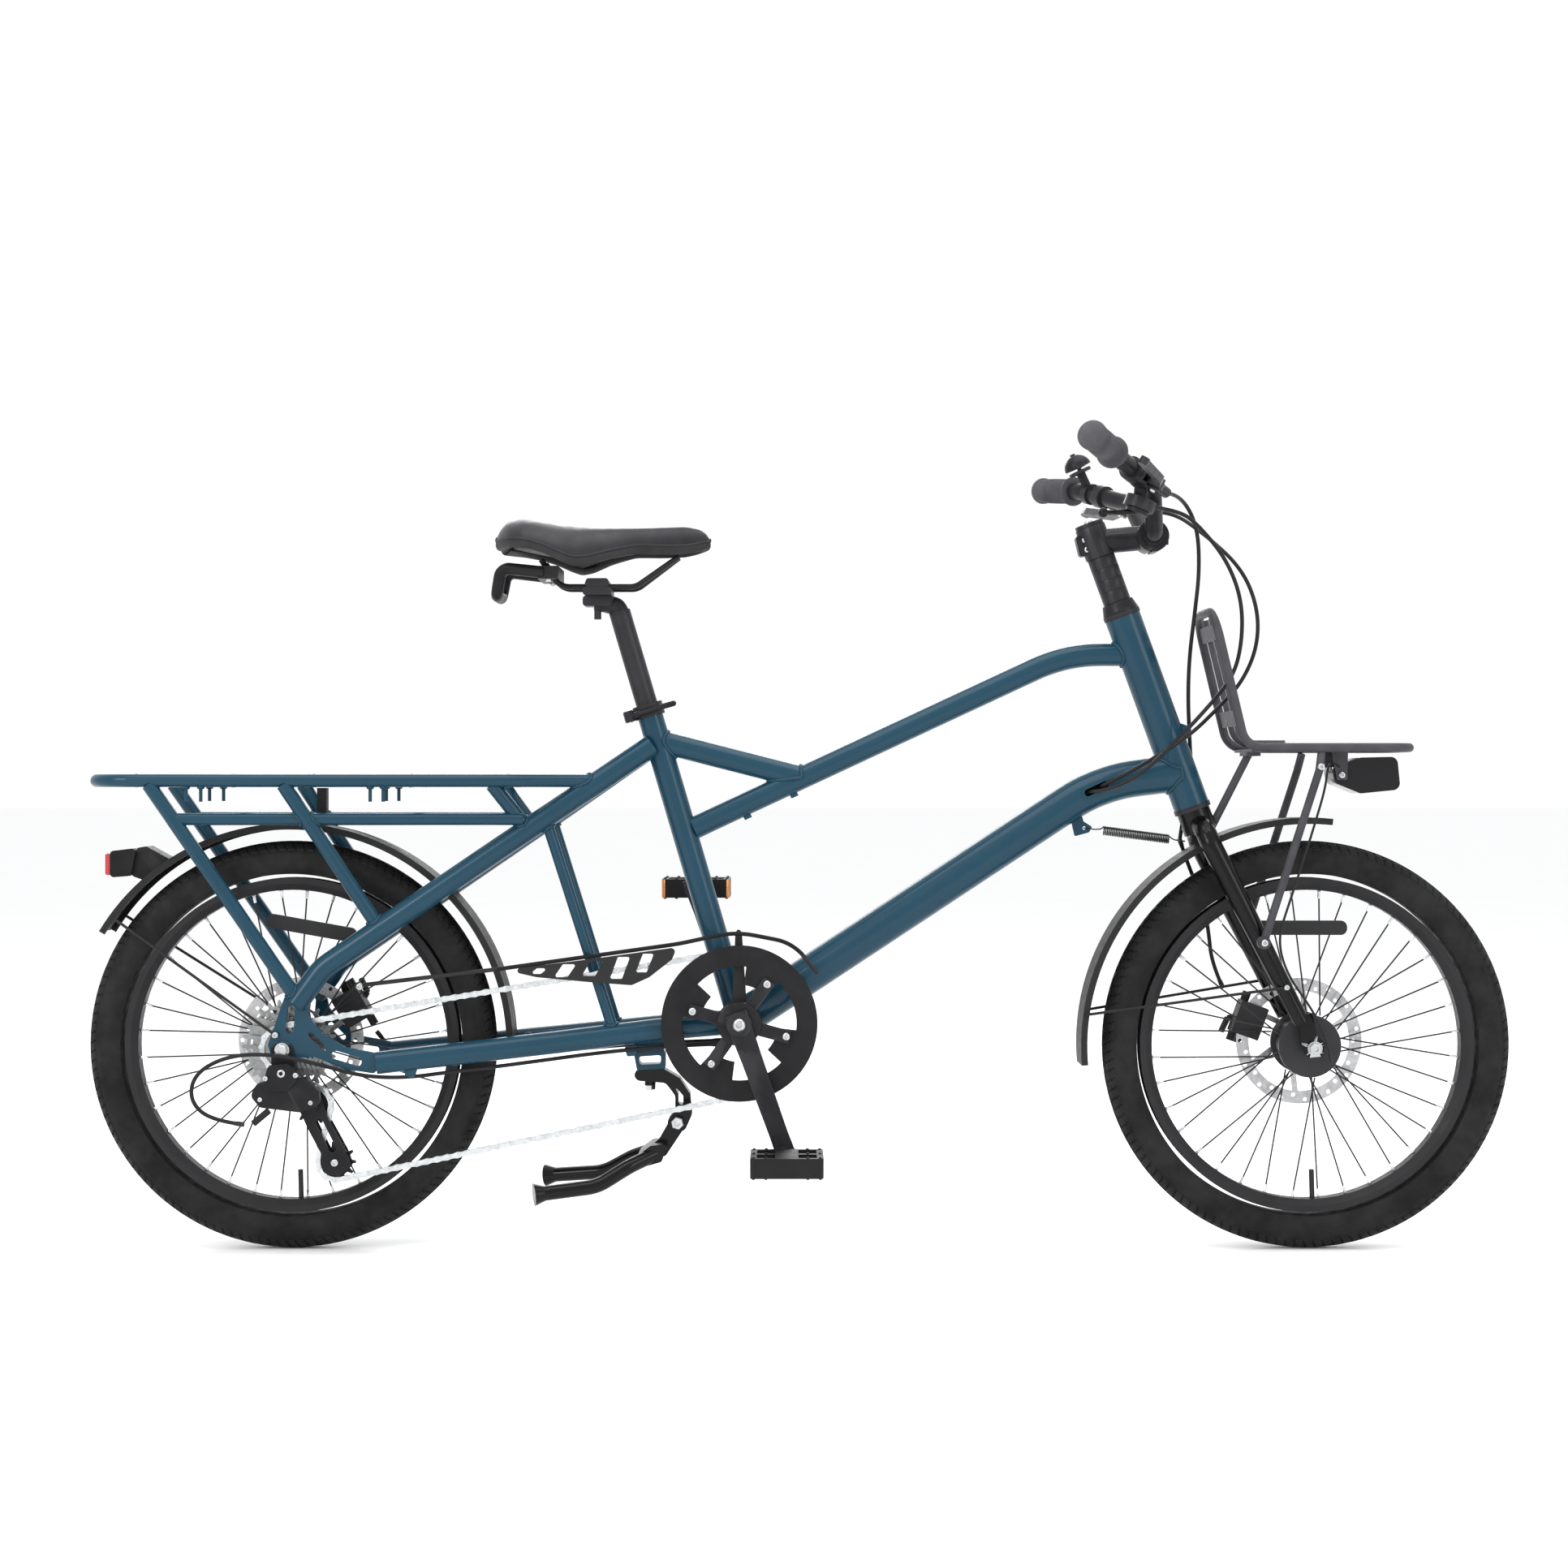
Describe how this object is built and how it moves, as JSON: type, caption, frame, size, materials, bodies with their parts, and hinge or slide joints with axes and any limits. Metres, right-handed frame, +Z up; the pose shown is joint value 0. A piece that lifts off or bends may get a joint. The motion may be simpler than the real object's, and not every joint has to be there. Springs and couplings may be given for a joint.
{
  "type": "cargo bicycle",
  "caption": "Longtail cargo bicycle with small wheels, welded rear rack, fork-mounted front carrier, chain drive, disc brakes, lamps and a folding double-leg stand.",
  "frame": {"origin": "on the ground, midway between the wheels, in the centre plane", "axes": "+X forwards, +Y to the rider's left, +Z up; the drive side faces -Y"},
  "size_m": [1.784, 0.598, 1.0205],
  "materials": {
    "black_alloy": "black anodised",
    "black_gloss": "glossy black paint",
    "black_plastic": "moulded black",
    "black_satin": "satin black",
    "cable": "black cable sleeve",
    "carrier_grey": "matt dark grey",
    "chain_steel": "bright plated steel",
    "grip": "dark grey rubber",
    "guard_black": "glossy black",
    "saddle": "black vinyl",
    "steel": "bare steel",
    "teal": "glossy enamel",
    "tyre": "black tyre rubber"
  },
  "bodies": {
    "frame": {"head_tube": "teal", "frame_bearings": "black_alloy", "top_tube": "teal", "down_tube": "teal", "seat_tube": "teal", "upper_stays": "teal", "chain_stays": "teal", "dropouts": "teal", "rack_rail": "teal", "rack_frame": "teal", "rear_mudguard": "guard_black", "tail_lamp": "black_plastic", "chain_guard": "black_plastic", "seat_clamp": "black_alloy", "stand_bracket": "black_alloy", "stay_cables": "cable", "control_cables": "cable", "steering_spring": "black_satin", "chain": "chain_steel", "derailleur": "black_satin", "rear_caliper": "black_alloy"},
    "clamp_lever": {"clamp_lever": "black_alloy"},
    "seat": {"seatpost": "black_alloy", "saddle_rails": "steel", "saddle": "saddle"},
    "stand": {"stand": "black_alloy"},
    "cranks": {"crankset": "black_alloy", "chainring": "black_alloy"},
    "right_pedal": {"right_pedal": "black_plastic"},
    "left_pedal": {"left_pedal": "black_plastic"},
    "freewheel": {"freewheel": "steel"},
    "derailleur_cage": {"derailleur_cage": "black_satin"},
    "guide_pulley": {"guide_pulley": "black_plastic"},
    "tension_pulley": {"tension_pulley": "black_plastic"},
    "rear_wheel": {"rear_tyre": "tyre", "rear_rim": "black_alloy", "rear_spokes": "steel", "rear_hub": "black_alloy"},
    "front_wheel": {"front_tyre": "tyre", "front_rim": "black_alloy", "front_spokes": "steel", "front_hub": "black_alloy"},
    "rear_caliper_arm": {"rear_caliper_arm": "black_alloy"},
    "front_caliper_arm": {"front_caliper_arm": "black_alloy"},
    "steering": {"fork": "black_gloss", "stem": "black_alloy", "handlebar": "black_alloy", "grips": "grip", "bar_controls": "black_alloy", "bell": "black_alloy", "front_mudguard": "guard_black", "carrier_loop": "carrier_grey", "carrier_bars": "carrier_grey", "front_caliper": "black_alloy", "fork_cables": "cable"},
    "right_brake_lever": {"right_brake_lever": "black_alloy"},
    "left_brake_lever": {"left_brake_lever": "black_alloy"},
    "shift_lever": {"shift_lever": "black_plastic"},
    "bell_lever": {"bell_lever": "black_plastic"},
    "headlamp": {"headlamp": "black_plastic"}
  },
  "joints": [
    {"name": "steer", "type": "hinge", "parent": "frame", "child": "steering", "pos_m": [0.493, 0, 0.5555], "axis": [-0.342, 0, 0.9397], "range_deg": [-55, 55], "deforming": ["control_cables", "steering_spring"]},
    {"name": "front_wheel_spin", "type": "hinge", "parent": "steering", "child": "front_wheel", "pos_m": [0.636, 0, 0.256], "axis": [0, 1, 0], "continuous": true},
    {"name": "rear_wheel_spin", "type": "hinge", "parent": "frame", "child": "rear_wheel", "pos_m": [-0.636, 0, 0.256], "axis": [0, 1, 0], "continuous": true},
    {"name": "crank_spin", "type": "hinge", "parent": "frame", "child": "cranks", "pos_m": [-0.075, 0, 0.286], "axis": [0, 1, 0], "continuous": true, "deforming": ["chain"]},
    {"name": "freewheel_spin", "type": "hinge", "parent": "frame", "child": "freewheel", "pos_m": [-0.636, 0, 0.256], "axis": [0, 1, 0], "continuous": true},
    {"name": "right_pedal_spin", "type": "hinge", "parent": "cranks", "child": "right_pedal", "pos_m": [-0.01617, 0, 0.12437], "axis": [0, 1, 0], "continuous": true},
    {"name": "left_pedal_spin", "type": "hinge", "parent": "cranks", "child": "left_pedal", "pos_m": [-0.13383, 0, 0.44763], "axis": [0, 1, 0], "continuous": true},
    {"name": "cage_swing", "type": "hinge", "parent": "frame", "child": "derailleur_cage", "pos_m": [-0.601, 0, 0.187], "axis": [0, 1, 0], "range_deg": [-12, 14]},
    {"name": "guide_pulley_spin", "type": "hinge", "parent": "derailleur_cage", "child": "guide_pulley", "pos_m": [-0.601, -0.0615, 0.187], "axis": [0, 1, 0], "continuous": true},
    {"name": "tension_pulley_spin", "type": "hinge", "parent": "derailleur_cage", "child": "tension_pulley", "pos_m": [-0.573, -0.0615, 0.1165], "axis": [0, 1, 0], "continuous": true},
    {"name": "stand_fold", "type": "hinge", "parent": "frame", "child": "stand", "pos_m": [-0.153, 0, 0.159], "axis": [0, 1, 0], "range_deg": [-70, 0]},
    {"name": "right_brake_squeeze", "type": "hinge", "parent": "steering", "child": "right_brake_lever", "pos_m": [0.42782, -0.15, 0.94361], "axis": [0.5091, -0.0631, 0.8584], "range_deg": [-15, 0]},
    {"name": "left_brake_squeeze", "type": "hinge", "parent": "steering", "child": "left_brake_lever", "pos_m": [0.42782, 0.15, 0.94361], "axis": [0.5091, 0.0631, 0.8584], "range_deg": [0, 15]},
    {"name": "front_caliper_pull", "type": "hinge", "parent": "steering", "child": "front_caliper_arm", "pos_m": [0.574, 0, 0.282], "axis": [0, 1, 0], "range_deg": [0, 22]},
    {"name": "rear_caliper_pull", "type": "hinge", "parent": "frame", "child": "rear_caliper_arm", "pos_m": [-0.572, 0, 0.297], "axis": [0, 1, 0], "range_deg": [0, 22]},
    {"name": "seat_height", "type": "slide", "parent": "frame", "child": "seat", "axis": [-0.2829, 0, 0.9592], "range_m": [-0.06, 0.1]},
    {"name": "seat_clamp_open", "type": "hinge", "parent": "frame", "child": "clamp_lever", "pos_m": [-0.2134, -0.014, 0.66724], "axis": [0.2829, 0, -0.9592], "range_deg": [0, 90]},
    {"name": "lamp_tilt", "type": "hinge", "parent": "steering", "child": "headlamp", "pos_m": [0.676, 0, 0.594], "axis": [0, 1, 0], "range_deg": [-1, 15]},
    {"name": "bell_ring", "type": "hinge", "parent": "steering", "child": "bell_lever", "pos_m": [0.37339, 0.172, 0.99402], "axis": [-0.4202, 0, 0.9074], "range_deg": [0, 25]},
    {"name": "gear_shift", "type": "hinge", "parent": "steering", "child": "shift_lever", "pos_m": [0.41178, -0.12, 0.92278], "axis": [-0.3499, 0, -0.9368], "range_deg": [-12, 18]}
  ],
  "couplings": [
    {"joint": "freewheel_spin", "follows": "crank_spin", "ratio": 3.1429},
    {"joint": "guide_pulley_spin", "follows": "crank_spin", "ratio": -4},
    {"joint": "tension_pulley_spin", "follows": "crank_spin", "ratio": 4},
    {"joint": "front_caliper_pull", "follows": "right_brake_squeeze", "ratio": -1.4667},
    {"joint": "rear_caliper_pull", "follows": "left_brake_squeeze", "ratio": 1.4667}
  ]
}
